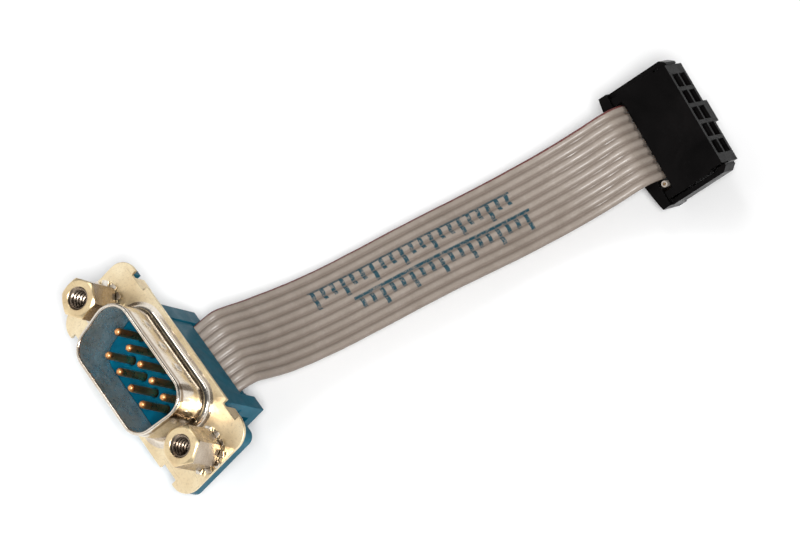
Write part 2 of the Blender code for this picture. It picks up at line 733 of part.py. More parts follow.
def socket_contact_mesh(name, side):
    """A flat contact: a fork for its conductor, offset to one side, and two beams that grip a header pin."""
    thick = 0.15 * MM
    fork = side * RIBBON_PITCH / 2
    slot, prong, beam, grip = 0.16, 0.42, 0.62, 0.28
    tip, fork_floor, shoulder, root, end = -0.58, 1.1, 2.1, 4.6, 7.6
    shape = [
        (fork / MM - prong, tip),
        (fork / MM - slot, tip),
        (fork / MM - slot, fork_floor),
        (fork / MM + slot, fork_floor),
        (fork / MM + slot, tip),
        (fork / MM + prong, tip),
        (fork / MM + prong, shoulder),
        (beam, shoulder + 0.7),
        (beam, end - 0.9),
        (beam - 0.12, end),
        (grip + 0.12, end),
        (grip - 0.06, end - 0.7),
        (grip + 0.04, root),
        (-grip - 0.04, root),
        (-grip + 0.06, end - 0.7),
        (-grip - 0.12, end),
        (-beam + 0.12, end),
        (-beam, end - 0.9),
        (-beam, shoulder + 0.7),
        (fork / MM - prong, shoulder),
    ]
    return prism(name, [(x * MM, y * MM) for x, y in shape], -thick, thick)


def make_socket_contacts(frame):
    for i, (x, z, side) in enumerate(wells()):
        name = f"socket_contact_{i + 1}"
        add(name, socket_contact_mesh(name, side), "contact_brass", frame, (x, 0, z))


def main():
    clear_scene()
    plug = Matrix.Translation(PLUG_AT) @ Matrix.Rotation(PLUG_TILT, 4, "X")
    socket = (
        Matrix.Translation(SOCKET_AT)
        @ Matrix.Rotation(SOCKET_ROLL, 4, "Y")
        @ Matrix.Rotation(SOCKET_TILT, 4, "X")
    )
    plug_frame = empty("plug_frame", plug)
    socket_frame = empty("socket_frame", socket)
    make_shell(plug_frame)
    make_insulator(plug_frame)
    make_body(plug_frame)
    make_cover(plug_frame)
    make_contacts(plug_frame)
    make_fasteners(plug_frame)
    make_ribbon(plug, socket)
    make_stub(socket_frame)
    make_socket_body(socket_frame)
    make_socket_cover(socket_frame)
    make_socket_contacts(socket_frame)


main()
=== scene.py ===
"""The looks of the serial adapter cable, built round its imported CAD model.

The D plug and the header socket are drawn in their own axes, as the CAD source draws them, and then put in
their places on the table. Sizes are in metres.
"""

from math import cos, floor, hypot, pi, radians, sin, sqrt, tan

import bmesh
import bpy
from mathutils import Matrix, Vector


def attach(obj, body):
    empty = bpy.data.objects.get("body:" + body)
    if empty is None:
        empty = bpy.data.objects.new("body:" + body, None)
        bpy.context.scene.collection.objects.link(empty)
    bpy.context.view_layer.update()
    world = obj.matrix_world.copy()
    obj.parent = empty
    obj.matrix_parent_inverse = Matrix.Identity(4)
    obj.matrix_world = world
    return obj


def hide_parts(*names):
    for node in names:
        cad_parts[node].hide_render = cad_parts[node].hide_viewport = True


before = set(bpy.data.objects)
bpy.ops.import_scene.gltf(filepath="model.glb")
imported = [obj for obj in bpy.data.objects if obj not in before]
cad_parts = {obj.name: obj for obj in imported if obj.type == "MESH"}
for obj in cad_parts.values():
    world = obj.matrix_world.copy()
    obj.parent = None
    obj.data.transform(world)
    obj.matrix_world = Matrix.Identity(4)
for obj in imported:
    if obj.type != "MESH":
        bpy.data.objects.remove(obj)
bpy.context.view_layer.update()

MM = 0.001
PLUG = Matrix.Translation((0, -1.75 * MM, 12.14 * MM)) @ Matrix.Rotation(radians(39.6), 4, "X")
SOCKET = (
    Matrix.Translation((0.8 * MM, 72.6 * MM, 8.45 * MM))
    @ Matrix.Rotation(radians(20), 4, "Y")
    @ Matrix.Rotation(radians(45), 4, "X")
)

# D plug, in its own axes: X along its long side, Z out of its mating face, and the flange's front at Z = 0
STEEL = 0.45 * MM
FLANGE_SIZE = 30.8 * MM, 12.55 * MM
NOTCH_INNER, NOTCH_OUTER, NOTCH_FLOOR = 9.65 * MM, 12.45 * MM, 5.525 * MM
TAB_WIDTH = 1.9 * MM
HALF_OPENING = 8.46 * MM, 4.18 * MM
OPENING_CORNER = 2.6 * MM
SIDE_ANGLE = radians(10)
SHROUD_HEIGHT = 6.05 * MM
DENT_PITCH, DENT_RADIUS, DENT_DEPTH, DENT_HEIGHT = 3.7 * MM, 0.95 * MM, 0.15 * MM, 3.1 * MM
PIN_STEP, PIN_ROW = 1.385 * MM, 1.42 * MM
JACK_X = 12.495 * MM
JACK_TURN = {"left": radians(32), "right": 0.0}
THREAD_PITCH = 0.635 * MM
BODY_TOP, BODY_BOTTOM, BODY_BACK = 5.0 * MM, -5.5 * MM, -8.6 * MM
EAR_BACK, EAR_INNER, BODY_HALF = -11.2 * MM, 6.2 * MM, 8.5 * MM
INSULATOR_BACK = -2.05 * MM

# Ribbon: where its middle leaves each connector
RIBBON_PITCH = 1.27 * MM
WIRES = 9
WIRE_RADIUS = 0.45 * MM
PLUG_OFFSET = -0.3 * MM
SOCKET_OFFSET = -RIBBON_PITCH / 2
RIBBON_LEVEL = -9.25 * MM
UV_ACROSS, UV_ALONG = 20.0, 100.0  # millimetres to one unit of its map

# Header socket, in its own axes: X along its rows, Y out of its mating face, and Z up towards the open side
GRID = 2.54 * MM
COLUMNS = 5
THICKNESS = 5.95 * MM
MATING_FACE = 8.45 * MM


# ---------------------------------------------------------------- camera


def aim_camera(place, target, roll, lens):
    """A camera looking from place to target, turned anticlockwise about its line of sight by roll."""
    data = bpy.data.cameras.new("camera")
    camera = bpy.data.objects.new("camera", data)
    bpy.context.collection.objects.link(camera)
    data.lens = lens
    data.sensor_width = 36
    data.clip_start = 0.01
    ahead = (target - place).normalized()
    level = ahead.cross(Vector((0, 0, 1))).normalized()
    up = level.cross(ahead)
    right = level * cos(roll) + up * sin(roll)
    up = up * cos(roll) - level * sin(roll)
    axes = Matrix((right, up, -ahead)).transposed().to_4x4()
    camera.matrix_world = Matrix.Translation(place) @ axes
    bpy.context.scene.camera = camera


aim_camera(
    Vector((200.8, -112.4, 384.3)) * MM,
    Vector((1.43, 34.07, 8.09)) * MM,
    radians(4.3),
    157.5,
)


# ---------------------------------------------------------------- materials


class Nodes:
    """A short way to write a material's nodes; each material's function calls its own one n."""

    def __init__(self, name):
        self.material = bpy.data.materials.new(name)
        self.material.use_nodes = True
        self.tree = self.material.node_tree
        self.shader = self.tree.nodes["Principled BSDF"]
        self.place = self.add("ShaderNodeTexCoord").outputs["Object"]

    def add(self, kind, **settings):
        node = self.tree.nodes.new(kind)
        for key, value in settings.items():
            setattr(node, key, value)
        return node

    def feed(self, source, socket):
        if isinstance(source, (int, float, tuple)):
            socket.default_value = source
        else:
            self.tree.links.new(source, socket)

    def noise(self, scale, detail=4.0, roughness=0.55, distortion=0.0, stretch=None):
        node = self.add("ShaderNodeTexNoise")
        place = self.place
        if stretch:
            mapping = self.add("ShaderNodeMapping")
            mapping.inputs["Scale"].default_value = stretch[0]
            mapping.inputs["Rotation"].default_value = stretch[1]
            self.feed(place, mapping.inputs["Vector"])
            place = mapping.outputs["Vector"]
        self.feed(place, node.inputs["Vector"])
        node.inputs["Scale"].default_value = scale
        node.inputs["Detail"].default_value = detail
        node.inputs["Roughness"].default_value = roughness
        node.inputs["Distortion"].default_value = distortion
        return node.outputs["Fac"]

    def remap(self, source, from_low, from_high, to_low, to_high):
        node = self.add("ShaderNodeMapRange")
        self.feed(source, node.inputs["Value"])
        for key, value in (
            ("From Min", from_low),
            ("From Max", from_high),
            ("To Min", to_low),
            ("To Max", to_high),
        ):
            node.inputs[key].default_value = value
        return node.outputs["Result"]

    def math(self, operation, first, second=0.0):
        node = self.add("ShaderNodeMath", operation=operation)
        self.feed(first, node.inputs[0])
        self.feed(second, node.inputs[1])
        return node.outputs["Value"]

    def blend(self, share, first, second):
        node = self.add("ShaderNodeMix", data_type="RGBA")
        self.feed(share, node.inputs["Factor"])
        self.feed(first, node.inputs["A"])
        self.feed(second, node.inputs["B"])
        return node.outputs["Result"]

    def bump(self, height, strength, distance, under=None):
        node = self.add("ShaderNodeBump")
        self.feed(height, node.inputs["Height"])
        node.inputs["Strength"].default_value = strength
        node.inputs["Distance"].default_value = distance
        if under is not None:
            self.feed(under, node.inputs["Normal"])
        return node.outputs["Normal"]

    def over_flange(self):
        """The height of a point over the plug's flange, in metres."""
        node = self.add("ShaderNodeVectorMath", operation="DOT_PRODUCT")
        self.feed(self.place, node.inputs[0])
        axis = PLUG.to_3x3() @ Vector((0, 0, 1))
        node.inputs[1].default_value = axis
        return self.math("SUBTRACT", node.outputs["Value"], axis.dot(PLUG.translation))

    def finish(self, colour, roughness, normal=None, metallic=0.0, specular=0.5):
        self.feed(colour, self.shader.inputs["Base Color"])
        self.feed(roughness, self.shader.inputs["Roughness"])
        self.shader.inputs["Metallic"].default_value = metallic
        self.shader.inputs["Specular IOR Level"].default_value = specular
        if normal is not None:
            self.feed(normal, self.shader.inputs["Normal"])
        return self.material


def plated(name, bright, dull, rough=(0.16, 0.34), grain=0.05, scratch=0.35, speck=0.0, height_bands=(), metal=1.0):
    """Plated metal: cloudy plating, a fine orange-peel grain, handling scratches and dull scuffs.

    speck is the share of fine brown specks. height_bands are brown bands round the wall, each from one height
    over the plug's flange to another, in millimetres, with its depth of colour. metal is under 1 where a film
    dulls the wall.
    """
    n = Nodes(name)
    clouds = n.noise(260, detail=5, distortion=0.4)
    scuffs = n.noise(900, detail=6, roughness=0.7)
    lines = n.noise(420, detail=3, stretch=((1.0, 14.0, 14.0), (0.3, 0.5, 0.6)))
    cross = n.noise(380, detail=3, stretch=((13.0, 1.0, 13.0), (0.2, 0.9, 1.3)))
    marks = n.math("MAXIMUM", n.remap(lines, 0.62, 0.72, 0, 1), n.remap(cross, 0.63, 0.72, 0, 1))
    tone = n.blend(n.remap(clouds, 0.36, 0.64, 0, 1), bright, dull)
    tone = n.blend(n.math("MULTIPLY", marks, scratch), tone, tuple(0.55 * c for c in dull[:3]) + (1,))
    brown = (0.42 * dull[0], 0.33 * dull[1], 0.24 * dull[2], 1)
    if speck:
        tone = n.blend(n.remap(n.noise(3300, detail=3, roughness=0.8), 0.5, 0.8, 0, speck), tone, brown)
        tone = n.blend(n.remap(n.noise(1100, detail=6, roughness=0.8), 0.6, 0.72, 0, speck), tone, brown)
    # Brown bands round the wall, each between two heights over the flange.
    for low, high, depth in height_bands:
        away = n.math("ABSOLUTE", n.math("SUBTRACT", n.over_flange(), (low + high) / 2 * MM))
        blur = n.math("ADD", away, n.remap(n.noise(520, detail=4), 0.3, 0.7, -0.12 * MM, 0.12 * MM))
        half = (high - low) / 2 * MM
        tone = n.blend(n.remap(blur, 0.55 * half, 1.25 * half, depth, 0), tone, brown)
    wear = n.math("ADD", n.remap(scuffs, 0.35, 0.7, rough[0], rough[1]), n.math("MULTIPLY", marks, 0.18))
    peel = n.bump(n.noise(2600, detail=2), grain, 0.02 * MM)
    dents = n.bump(n.noise(190, detail=2), 0.5, 0.05 * MM, peel)
    cuts = n.bump(marks, -0.25, 0.015 * MM, dents)
    return n.finish(tone, wear, cuts, metallic=metal)


def moulded(name, deep, pale, rough=(0.36, 0.5), grain=0.2, scuff=0.25, specular=0.35):
    """Moulded plastic: a fine spark-eroded grain, flow marks, pale dust and small rubbed spots; on the
    insulator's floor the flow marks are dark blotches of painted shade.
    """
    n = Nodes(name)
    mottle = n.noise(170, detail=4, distortion=1.2)
    dust = n.noise(1500, detail=6, roughness=0.75)
    rubs = n.noise(520, detail=5, distortion=0.6)
    tone = n.blend(n.remap(mottle, 0.3, 0.75, 0, 1), deep, pale)
    dusty = tuple(min(1.0, 0.12 + 1.6 * c) for c in pale[:3]) + (1,)
    tone = n.blend(n.remap(dust, 0.58, 0.82, 0, scuff), tone, dusty)
    gloss = n.remap(rubs, 0.4, 0.68, rough[1], rough[0])
    grit = n.bump(n.noise(4200, detail=2), grain, 0.02 * MM)
    sinks = n.bump(n.noise(240, detail=2), 0.35, 0.05 * MM, grit)
    return n.finish(tone, gloss, sinks, specular=specular)


def vinyl_ribbon():
    """Grey vinyl with painted shade in the valleys between the wires, a red first edge, and two rows of worn
    teal scale ticks.

    across and along are the place on the ribbon in millimetres, from its first edge and from the plug.
    """
    n = Nodes("ribbon_vinyl")
    split = n.add("ShaderNodeSeparateXYZ")
    n.feed(n.add("ShaderNodeUVMap", uv_map="across_along").outputs["UV"], split.inputs["Vector"])
    across = n.math("MULTIPLY", split.outputs["X"], UV_ACROSS)
    along = n.math("MULTIPLY", split.outputs["Y"], UV_ALONG)
    cloud = n.noise(240, detail=5, distortion=0.8)
    fine = n.noise(2200, detail=4, roughness=0.7)
    grey = n.blend(n.remap(cloud, 0.3, 0.72, 0, 1), (0.315, 0.268, 0.23, 1), (0.25, 0.21, 0.176, 1))
    grey = n.blend(n.remap(fine, 0.5, 0.8, 0, 0.3), grey, (0.4, 0.36, 0.33, 1))
    wire = n.math("FRACT", n.math("DIVIDE", across, RIBBON_PITCH / MM))
    valley = n.math("ABSOLUTE", n.math("SUBTRACT", wire, 0.5))
    # Painted shade: the vinyl darkens towards the valleys between the round wires.
    grey = n.blend(n.remap(valley, 0.14, 0.5, 0, 0.62), grey, (0.13, 0.095, 0.075, 1))

    def stripe(value, low, high, soft=0.08):
        rise = n.remap(value, low - soft, low + soft, 0, 1)
        fall = n.remap(value, high - soft, high + soft, 1, 0)
        return n.math("MULTIPLY", rise, fall)

    def row(side, start, stop, phase):
        """A scale printed along the ribbon: a line with ticks on it, every third one longer."""
        count = n.math("ADD", n.math("DIVIDE", along, 1.5), phase)
        near = n.math("ABSOLUTE", n.math("SUBTRACT", n.math("FRACT", count), 0.5))
        bar = n.remap(near, 0.16, 0.23, 1, 0)
        third = n.math("FRACT", n.math("DIVIDE", n.math("FLOOR", count), 3.0))
        length = n.remap(third, 0.1, 0.2, 2.85, 1.9)
        rise = n.math("SUBTRACT", across, side)
        high = n.remap(n.math("SUBTRACT", rise, length), -0.08, 0.08, 1, 0)
        low = n.remap(rise, -0.08, 0.08, 0, 1)
        ticks = n.math("MULTIPLY", bar, n.math("MULTIPLY", low, high))
        marks = n.math("MAXIMUM", ticks, stripe(rise, 0.0, 0.36))
        return n.math("MULTIPLY", marks, stripe(along, start, stop, 0.01))

    ticks = n.math("MAXIMUM", row(2.5, 18.2, 49.4, 0.0), row(5.9, 23.4, 50.6, 0.35))
    worn = n.remap(n.noise(1700, detail=5, roughness=0.7), 0.36, 0.52, 0.3, 1)
    dips = n.remap(valley, 0.38, 0.47, 1, 0.5)
    ink = n.math("MULTIPLY", ticks, n.math("MULTIPLY", worn, dips))
    tone = n.blend(n.math("MULTIPLY", ink, 0.93), grey, (0.001, 0.05, 0.075, 1))
    edge = n.remap(n.math("ADD", across, n.remap(fine, 0.3, 0.7, -0.05, 0.05)), 0.22, 0.34, 0.9, 0)
    tone = n.blend(edge, tone, (0.12, 0.014, 0.014, 1))
    gloss = n.remap(n.noise(600, detail=5), 0.35, 0.7, 0.3, 0.42)
    grit = n.bump(n.noise(3000, detail=3), 0.12, 0.02 * MM)
    waves = n.bump(n.noise(160, detail=2), 0.5, 0.1 * MM, grit)
    return n.finish(tone, gloss, waves, specular=0.36)


def studio_floor():
    n = Nodes("studio_floor")
    tone = n.blend(n.noise(6, detail=3), (0.93, 0.93, 0.93, 1), (0.96, 0.96, 0.96, 1))
    return n.finish(tone, n.remap(n.noise(40), 0.3, 0.7, 0.7, 0.85), n.bump(n.noise(900), 0.05, 0.05 * MM))


SHELL = plated(
    "shell_plate",
    (0.9, 0.77, 0.53, 1),
    (0.78, 0.63, 0.4, 1),
    rough=(0.32, 0.48),
    grain=0.25,
    speck=0.4,
)
DRAWN = plated(
    "drawn_plate",
    (0.8, 0.74, 0.65, 1),
    (0.6, 0.52, 0.42, 1),
    rough=(0.09, 0.24),
    speck=0.35,
    height_bands=((5.05, 5.65, 0.9), (0.7, 1.35, 0.8), (1.9, 2.7, 0.35)),
)
INNER = plated(
    "inner_plate",
    (0.84, 0.83, 0.77, 1),
    (0.6, 0.6, 0.56, 1),
    rough=(0.2, 0.42),
    grain=0.7,
    scratch=0.7,
    speck=0.6,
    metal=0.85,
)
SCREW = plated("screw_plate", (0.82, 0.67, 0.41, 1), (0.66, 0.5, 0.29, 1), rough=(0.26, 0.42), speck=0.35)
# Painted shade: a darker, greyer copy of the screw plating for the hex's six sides.
SHADED_FLATS = plated("screw_flats_shaded", (0.5, 0.42, 0.33, 1), (0.33, 0.26, 0.19, 1), rough=(0.2, 0.36), speck=0.35)
# Painted shade: a dark copy of the screw plating for the jackscrew's bore, standing in for the shade inside
# the hole.
BORE_SHADE = plated("bore_painted_shade", (0.34, 0.28, 0.22, 1), (0.2, 0.15, 0.11, 1), rough=(0.18, 0.34))
WASHER = plated("washer_plate", (0.86, 0.82, 0.74, 1), (0.5, 0.43, 0.34, 1), rough=(0.1, 0.28), speck=0.5)
INSERT = plated("insert_plate", (0.75, 0.71, 0.62, 1), (0.6, 0.54, 0.44, 1), rough=(0.25, 0.42))
GOLD = plated("contact_gold", (0.92, 0.47, 0.19, 1), (0.68, 0.29, 0.11, 1), rough=(0.24, 0.42), scratch=0.6)
# Painted shade: a darkened copper for the stub's cut end, standing in for the shade in its sunk core.
SHADED_STRAND = plated("cut_copper_shaded", (0.32, 0.2, 0.1, 1), (0.16, 0.1, 0.05, 1), rough=(0.3, 0.5), speck=0.5)
BLUE = moulded("housing_blue", (0.0, 0.075, 0.12, 1), (0.004, 0.125, 0.185, 1), specular=0.2)
# Painted shade: the wide spread from deep to pale gives the insulator's floor dark blotches that stand in for
# the shade of the pins and walls.
FLOOR_BLUE = moulded(
    "insulator_blue",
    (0.0, 0.032, 0.06, 1),
    (0.0, 0.125, 0.22, 1),
    specular=0.04,
    scuff=0.06,
)
BLACK = moulded(
    "socket_black",
    (0.0012, 0.001, 0.001, 1),
    (0.004, 0.0034, 0.0034, 1),
    rough=(0.2, 0.34),
    scuff=0.03,
    specular=0.04,
)
# Painted highlight: a paler plastic for the socket cap's bevelled edges, standing in for the light they
# catch.
EDGE_HIGHLIGHT_BLACK = moulded(
    "socket_edge_highlight",
    (0.012, 0.011, 0.012, 1),
    (0.1, 0.098, 0.105, 1),
    rough=(0.16, 0.3),
    scuff=0.1,
    specular=0.3,
)
VINYL_PLAIN = moulded("stub_vinyl", (0.3, 0.26, 0.22, 1), (0.4, 0.36, 0.32, 1), rough=(0.3, 0.42))
VINYL = vinyl_ribbon()


# ---------------------------------------------------------------- mesh helpers


def add_loft(work, loops, cap=True):
    rings = [[work.verts.new(point) for point in loop] for loop in loops]
    count = len(rings[0])
    for low, high in zip(rings, rings[1:]):
        for i in range(count):
            k = (i + 1) % count
            work.faces.new((low[i], low[k], high[k], high[i]))
    if cap:
        work.faces.new(list(reversed(rings[0])))
        work.faces.new(rings[-1])
    return rings


def closed(work, name):
    bmesh.ops.recalc_face_normals(work, faces=work.faces)
    mesh = bpy.data.meshes.new(name)
    work.to_mesh(mesh)
    work.free()
    return mesh


def loft(name, loops):
    work = bmesh.new()
    add_loft(work, loops)
    return closed(work, name)


def lofts(name, groups):
    work = bmesh.new()
    for loops in groups:
        add_loft(work, loops)
    return closed(work, name)


def level(outline, z):
    return [(x, y, z) for x, y in outline]


def prism_loops(outline, low, high):
    return [level(outline, low), level(outline, high)]


def rectangle(left, right, bottom, top):
    return [(left, bottom), (right, bottom), (right, top), (left, top)]


def circle(radius, count, centre=(0, 0), phase=0.0):
    angles = [phase + 2 * pi * i / count for i in range(count)]
    return [(centre[0] + radius * cos(a), centre[1] + radius * sin(a)) for a in angles]


def arc(centre, radius, start, stop, steps):
    angles = [start + (stop - start) * i / steps for i in range(steps + 1)]
    return [(centre[0] + radius * cos(a), centre[1] + radius * sin(a)) for a in angles]


def placed(name, mesh, material, where=Matrix(), soft=0.0, sharp=32, segments=2):
    """An object whose mesh is moved into the row frame, with softened edges."""
    mesh.transform(where)
    if not mesh.materials:
        mesh.materials.append(material)
    made = bpy.data.objects.new(name, mesh)
    bpy.context.collection.objects.link(made)
    mesh.shade_smooth()
    mesh.set_sharp_from_angle(angle=radians(sharp))
    if soft:
        edge = made.modifiers.new("soft_edges", "BEVEL")
        edge.width = soft
        edge.segments = segments
        edge.limit_method = "ANGLE"
        edge.angle_limit = radians(sharp)
        edge.harden_normals = True
    return made


def carved(mesh, cuts=(), joins=()):
    """The mesh with closed meshes cut out of it or joined to it."""
    target = bpy.data.objects.new("carving", mesh)
    bpy.context.collection.objects.link(target)
    tools = []
    for operation, group in (("UNION", joins), ("DIFFERENCE", cuts)):
        for tool_mesh in group:
            tool = bpy.data.objects.new("tool", tool_mesh)
            bpy.context.collection.objects.link(tool)
            tools.append(tool)
            step = target.modifiers.new("step", "BOOLEAN")
            step.operation = operation
            step.solver = "EXACT"
            step.object = tool
    graph = bpy.context.evaluated_depsgraph_get()
    result = bpy.data.meshes.new_from_object(target.evaluated_get(graph))
    for item in tools + [target]:
        bpy.data.objects.remove(item, do_unlink=True)
    return result


def own(piece, nodes=(), body="connector"):
    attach(piece, body)
    if nodes:
        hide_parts(*nodes)
    return piece


def turned(name, profile, count, material, where, radius_at=None, sharp=32):
    """A lathe shape from (radius, z) pairs, closed at both ends; radius_at may shape each ring's radius."""
    work = bmesh.new()
    loops = []
    for radius, z in profile:
        ring = []
        for i in range(count):
            angle = 2 * pi * i / count
            reach = radius_at(radius, z, angle) if radius_at else radius
            ring.append((reach * cos(angle), reach * sin(angle), z))
        loops.append(ring)
    add_loft(work, loops)
    return placed(name, closed(work, name), material, where, sharp=sharp)


# ---------------------------------------------------------------- ribbon

# x, y and z in millimetres, and the roll about +Y in degrees
ROUTE = [
    (-0.3, 10.2, 8.85, 4.5),
    (-0.3, 12.1, 8.4, 8.0),
    (-0.33, 14.2, 7.58, 10.2),
    (-0.45, 16.8, 6.75, 11.0),
    (-0.57, 20.0, 6.0, 10.2),
    (-0.65, 23.3, 5.5, 8.7),
    (-0.69, 26.6, 5.3, 7.5),
    (-0.69, 30.0, 5.3, 7.0),
    (-0.68, 33.4, 5.4, 7.1),
    (-0.67, 36.7, 5.52, 7.5),
    (-0.67, 40.0, 5.55, 8.2),
    (-0.69, 43.4, 5.45, 9.2),
    (-0.72, 46.7, 5.28, 10.6),
    (-0.74, 50.1, 5.15, 12.2),
    (-0.75, 53.4, 5.15, 13.9),
    (-0.7, 56.7, 5.35, 15.4),
    (-0.57, 60.0, 5.8, 16.7),
    (-0.35, 63.3, 6.6, 17.8),
    (-0.02, 66.4, 7.8, 18.7),
    (0.25, 68.7, 8.85, 19.3),
    (0.4, 70.6, 9.35, 19.8),
]


def smooth_route(points, steps):
    """A smooth curve through all of the points."""
    padded = [2 * points[0] - points[1]] + points + [2 * points[-1] - points[-2]]
    curve = []
    for i in range(1, len(padded) - 2):
        a, b, c, d = padded[i - 1 : i + 3]
        for k in range(steps):
            t = k / steps
            square = (2 * a - 5 * b + 4 * c - d) * t**2
            cube = (3 * b - 3 * c + d - a) * t**3
            curve.append(0.5 * (2 * b + (c - a) * t + square + cube))
    curve.append(padded[-2])
    return curve


def ribbon_stations(steps=6):
    """The ribbon's centreline from inside the plug to inside the socket, and its roll at each point."""
    inside, outside = (2.5 * MM, 1.2 * MM, 0.0), (-0.35 * MM, 0.3 * MM, 1.1 * MM)
    ends = [PLUG @ Vector((PLUG_OFFSET, BODY_TOP - depth, RIBBON_LEVEL)) for depth in inside]
    others = [SOCKET @ Vector((SOCKET_OFFSET, 0, -depth)) for depth in outside]
    route = [Vector((x * MM, y * MM, z * MM)) for x, y, z, _ in ROUTE]
    rolls = [0.0] * 3 + [radians(roll) for *_, roll in ROUTE] + [radians(20)] * 3
    centres = smooth_route(ends + route + others, steps)
    spread = smooth_route([Vector((roll, 0, 0)) for roll in rolls], steps)
    return centres, [value.x for value in spread]


def ribbon_section(per_wire=10):
    """Top outline of nine round wires joined by thin webs, from -x to +x, as (x, half thickness)."""
    reach, web, outer_edge = 0.585 * MM, 0.17 * MM, 0.04 * MM
    outline = []
    for wire in range(WIRES):
        middle = (wire - (WIRES - 1) / 2) * RIBBON_PITCH
        for k in range(per_wire + 1):
            x = reach * -cos(pi * k / per_wire)
            lift = max(web, WIRE_RADIUS * sqrt(max(0.0, 1 - (x / reach) ** 2)))
            outline.append((middle + x, lift))
    outline[0] = (outline[0][0], outer_edge)
    outline[-1] = (outline[-1][0], outer_edge)
    return outline


def make_ribbon():
    centres, rolls = ribbon_stations()
    top = ribbon_section()
    section = top + [(x, -z) for x, z in reversed(top)]
    wander, free_length = 0.035 * MM, 70 * MM
    work = bmesh.new()
    uv = work.loops.layers.uv.new("across_along")
    rings, travelled, so_far = [], [], 0.0
    for i, centre in enumerate(centres):
        if i:
            so_far += (centre - centres[i - 1]).length
        travelled.append(so_far)
        ahead = (centres[min(i + 1, len(centres) - 1)] - centres[max(i - 1, 0)]).normalized()
        across = Vector((cos(rolls[i]), 0, -sin(rolls[i])))
        across = (across - ahead * across.dot(ahead)).normalized()
        up = across.cross(ahead)
        ring = []
        for x, z in section:
            wire = floor(x / RIBBON_PITCH + 0.5)
            share = so_far / free_length
            lift = wander * sin(95 * share + wire * 2.1) * sin(31 * share + wire)
            ring.append(work.verts.new(centre + across * x + up * (z + lift)))
        rings.append(ring)
    count = len(section)
    half = abs(section[0][0])
    for i in range(len(rings) - 1):
        for k in range(count):
            then = (k + 1) % count
            face = work.faces.new((rings[i][k], rings[i][then], rings[i + 1][then], rings[i + 1][k]))
            for corner, (column, row) in zip(face.loops, ((k, i), (then, i), (then, i + 1), (k, i + 1))):
                x = section[column][0] + half
                corner[uv].uv = (x / MM / UV_ACROSS, travelled[row] / MM / UV_ALONG)
    work.faces.new(list(reversed(rings[0])))
    work.faces.new(rings[-1])
    ribbon = placed("ribbon", closed(work, "ribbon"), VINYL, sharp=75)
    return own(ribbon, ["ribbon_cable"]), centres


def make_stub():
    """The tenth conductor's cut end: grey insulation round copper strands, trimmed in the slot; the copper is
    painted dark, as painted shade in its sunk core.
    """
    outer, copper = WIRE_RADIUS, 0.2 * MM
    where = SOCKET @ Matrix.Translation((4.5 * RIBBON_PITCH, 0, 0))
    ring = [
        (outer, -1.1 * MM),
        (outer, -0.02 * MM),
        (outer - 0.05 * MM, 0.05 * MM),
        (copper + 0.06 * MM, 0.05 * MM),
        (copper + 0.02 * MM, -0.12 * MM),
        (copper, -0.12 * MM),
        (copper * 0.9, -0.02 * MM),
        (0.02 * MM, 0.0),
    ]
    stub = turned("stub", ring, 32, VINYL_PLAIN, where)
    stub.data.materials.append(SHADED_STRAND)
    for face in stub.data.polygons:
        local = where.inverted() @ face.center
        if hypot(local.x, local.y) < copper and local.z > -0.3 * MM:
            face.material_index = 1
    return own(stub, ["conductor_stub"])


# ---------------------------------------------------------------- D plug


def d_outline(grow=0.0, steps=10, wide_points=72):
    """The shroud's inside outline, grown all round, with extra points along its wide side."""
    half_length, half_width = HALF_OPENING
    high = half_width - OPENING_CORNER
    wide = half_length - OPENING_CORNER
    narrow = wide - 2 * high * tan(SIDE_ANGLE)
    radius = OPENING_CORNER + grow
    lean = SIDE_ANGLE
    side = [(wide - 2 * wide * i / wide_points, half_width + grow) for i in range(1, wide_points)]
    return (
        arc((wide, high), radius, -lean, pi / 2, steps)
        + side
        + arc((-wide, high), radius, pi / 2, pi + lean, steps)
        + arc((-narrow, -high), radius, pi + lean, 1.5 * pi, steps)
        + arc((narrow, -high), radius, 1.5 * pi, 2 * pi - lean, steps)
    )


def flange_outline(length, width, corner, notch_margin=0.0, steps=10):
    """A rounded rectangle with the four crimp notches, which a plate under the steel has deeper and wider."""
    x, y = length / 2 - corner, width / 2 - corner
    inner, outer = NOTCH_INNER - notch_margin, NOTCH_OUTER + notch_margin
    floor_y = NOTCH_FLOOR
    if notch_margin:
        floor_y -= STEEL + notch_margin
    top = width / 2
    return (
        arc((x, y), corner, 0, pi / 2, steps)
        + [(outer, top), (outer, floor_y), (inner, floor_y), (inner, top)]
        + [(-inner, top), (-inner, floor_y), (-outer, floor_y), (-outer, top)]
        + arc((-x, y), corner, pi / 2, pi, steps)
        + arc((-x, -y), corner, pi, 1.5 * pi, steps)
        + [(-outer, -top), (-outer, -floor_y), (-inner, -floor_y), (-inner, -top)]
        + [(inner, -top), (inner, -floor_y), (outer, -floor_y), (outer, -top)]
        + arc((x, -y), corner, 1.5 * pi, 2 * pi, steps)
    )


def jack_circles(radius, count=40):
    return [circle(radius, count, (x, 0)) for x in (-JACK_X, JACK_X)]


def make_flange():
    plate = loft("plate", prism_loops(flange_outline(*FLANGE_SIZE, 2.5 * MM), -STEEL, 0))
    opening = d_outline(STEEL * 0.5, wide_points=2)
    cuts = [opening] + jack_circles(1.6 * MM)
    plate = carved(plate, cuts=[lofts("cuts", [prism_loops(outline, -MM, MM) for outline in cuts])])
    flange = placed("flange", plate, SHELL, PLUG, soft=0.09 * MM)
    return own(flange, ["front_shell"])


def dent(x, z):
    """How far the shroud's wide wall is pushed in at a point of it."""
    push = 0.0
    for i in (-1, 0, 1):
        away = hypot(x - (i * DENT_PITCH - 0.3 * MM), z - DENT_HEIGHT) / DENT_RADIUS
        if away < 1:
            push = max(push, DENT_DEPTH * (1 - away * away) ** 2)
    return push


